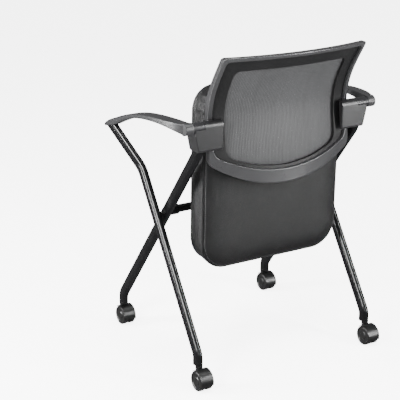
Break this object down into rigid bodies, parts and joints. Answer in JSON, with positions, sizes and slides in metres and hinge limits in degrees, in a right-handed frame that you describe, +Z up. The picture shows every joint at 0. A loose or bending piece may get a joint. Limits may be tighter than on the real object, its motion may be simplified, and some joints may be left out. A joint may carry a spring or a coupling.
{
  "type": "nesting chair",
  "caption": "Nesting chair with a flip-up padded seat, curved mesh back, splayed arms and crossed flat-oval legs on twin-wheel casters.",
  "frame": {"origin": "on the floor in the chair's middle plane, midway between the feet of the front and the rear legs", "axes": "+Z up, -Y the way the chair faces, +X towards the sitter's left"},
  "size_m": [0.6702, 0.5315, 0.888],
  "materials": {
    "back_plastic": "satin black moulded plastic with a grey sheen on its lips",
    "mesh": "fine black stretched mesh with a vertical weave",
    "powder_coat": "satin black powder coat",
    "steel": "zinc-plated steel",
    "black_bolt": "black oxide steel",
    "rubber": "matt black rubber",
    "seat_plastic": "matt black ribbed moulding",
    "leather": "soft black leather with fine grain",
    "collar": "polished dark collar",
    "arm_plastic": "finely textured dark grey plastic",
    "bracket_plastic": "satin black moulded plastic",
    "caster_plastic": "black nylon",
    "wheel_plastic": "black nylon wheel with a satin tread"
  },
  "bodies": {
    "frame": {"back_frame": "back_plastic", "mesh_carrier": "back_plastic", "back_mesh": "mesh", "cross_bar": "powder_coat", "bar_bolts": "black_bolt", "stop_bumpers": "rubber", "arm_bolts": "steel", "left_inner_leg": "powder_coat", "left_outer_leg": "powder_coat", "left_leg_spacer": "powder_coat", "left_bar_sleeve": "powder_coat", "left_bar_insert": "steel", "left_hinge_ear": "powder_coat", "left_back_bracket": "bracket_plastic", "left_arm_collar": "collar", "left_arm": "arm_plastic", "left_arm_cap": "arm_plastic", "right_inner_leg": "powder_coat", "right_outer_leg": "powder_coat", "right_leg_spacer": "powder_coat", "right_bar_sleeve": "powder_coat", "right_bar_insert": "steel", "right_hinge_ear": "powder_coat", "right_back_bracket": "bracket_plastic", "right_arm_collar": "collar", "right_arm": "arm_plastic", "right_arm_cap": "arm_plastic", "left_front_foot_plug": "caster_plastic", "right_front_foot_plug": "caster_plastic", "left_rear_foot_plug": "caster_plastic", "right_rear_foot_plug": "caster_plastic"},
    "seat": {"seat_pan": "seat_plastic", "seat_cushion": "leather", "seat_screws": "steel", "rest_pads": "rubber", "left_pan_hinge": "steel", "right_pan_hinge": "steel", "left_hinge_pin": "steel", "right_hinge_pin": "steel", "pin_clips": "steel"},
    "left_front_caster": {"left_front_caster_hood": "caster_plastic", "left_front_caster_stem": "steel", "left_front_caster_axle": "steel"},
    "left_front_wheel_a": {"left_front_caster_wheel_a": "wheel_plastic"},
    "left_front_wheel_b": {"left_front_caster_wheel_b": "wheel_plastic"},
    "right_front_caster": {"right_front_caster_hood": "caster_plastic", "right_front_caster_stem": "steel", "right_front_caster_axle": "steel"},
    "right_front_wheel_a": {"right_front_caster_wheel_a": "wheel_plastic"},
    "right_front_wheel_b": {"right_front_caster_wheel_b": "wheel_plastic"},
    "left_rear_caster": {"left_rear_caster_hood": "caster_plastic", "left_rear_caster_stem": "steel", "left_rear_caster_axle": "steel"},
    "left_rear_wheel_a": {"left_rear_caster_wheel_a": "wheel_plastic"},
    "left_rear_wheel_b": {"left_rear_caster_wheel_b": "wheel_plastic"},
    "right_rear_caster": {"right_rear_caster_hood": "caster_plastic", "right_rear_caster_stem": "steel", "right_rear_caster_axle": "steel"},
    "right_rear_wheel_a": {"right_rear_caster_wheel_a": "wheel_plastic"},
    "right_rear_wheel_b": {"right_rear_caster_wheel_b": "wheel_plastic"}
  },
  "joints": [
    {"name": "seat_flip", "type": "hinge", "parent": "frame", "child": "seat", "pos_m": [0, 0.06241, 0.427], "axis": [1, 0, 0], "range_deg": [0, 90]},
    {"name": "left_front_swivel", "type": "hinge", "parent": "frame", "child": "left_front_caster", "pos_m": [0.252, -0.237, 0.06], "axis": [0, 0, 1], "continuous": true},
    {"name": "left_front_roll_a", "type": "hinge", "parent": "left_front_caster", "child": "left_front_wheel_a", "pos_m": [0.252, -0.221, 0.0275], "axis": [1, 0, 0], "continuous": true},
    {"name": "left_front_roll_b", "type": "hinge", "parent": "left_front_caster", "child": "left_front_wheel_b", "pos_m": [0.252, -0.221, 0.0275], "axis": [1, 0, 0], "continuous": true},
    {"name": "right_front_swivel", "type": "hinge", "parent": "frame", "child": "right_front_caster", "pos_m": [-0.252, -0.237, 0.06], "axis": [0, 0, 1], "continuous": true},
    {"name": "right_front_roll_a", "type": "hinge", "parent": "right_front_caster", "child": "right_front_wheel_a", "pos_m": [-0.252, -0.221, 0.0275], "axis": [1, 0, 0], "continuous": true},
    {"name": "right_front_roll_b", "type": "hinge", "parent": "right_front_caster", "child": "right_front_wheel_b", "pos_m": [-0.252, -0.221, 0.0275], "axis": [1, 0, 0], "continuous": true},
    {"name": "left_rear_swivel", "type": "hinge", "parent": "frame", "child": "left_rear_caster", "pos_m": [0.28, 0.237, 0.06], "axis": [0, 0, 1], "continuous": true},
    {"name": "left_rear_roll_a", "type": "hinge", "parent": "left_rear_caster", "child": "left_rear_wheel_a", "pos_m": [0.28, 0.253, 0.0275], "axis": [1, 0, 0], "continuous": true},
    {"name": "left_rear_roll_b", "type": "hinge", "parent": "left_rear_caster", "child": "left_rear_wheel_b", "pos_m": [0.28, 0.253, 0.0275], "axis": [1, 0, 0], "continuous": true},
    {"name": "right_rear_swivel", "type": "hinge", "parent": "frame", "child": "right_rear_caster", "pos_m": [-0.28, 0.237, 0.06], "axis": [0, 0, 1], "continuous": true},
    {"name": "right_rear_roll_a", "type": "hinge", "parent": "right_rear_caster", "child": "right_rear_wheel_a", "pos_m": [-0.28, 0.253, 0.0275], "axis": [1, 0, 0], "continuous": true},
    {"name": "right_rear_roll_b", "type": "hinge", "parent": "right_rear_caster", "child": "right_rear_wheel_b", "pos_m": [-0.28, 0.253, 0.0275], "axis": [1, 0, 0], "continuous": true}
  ]
}
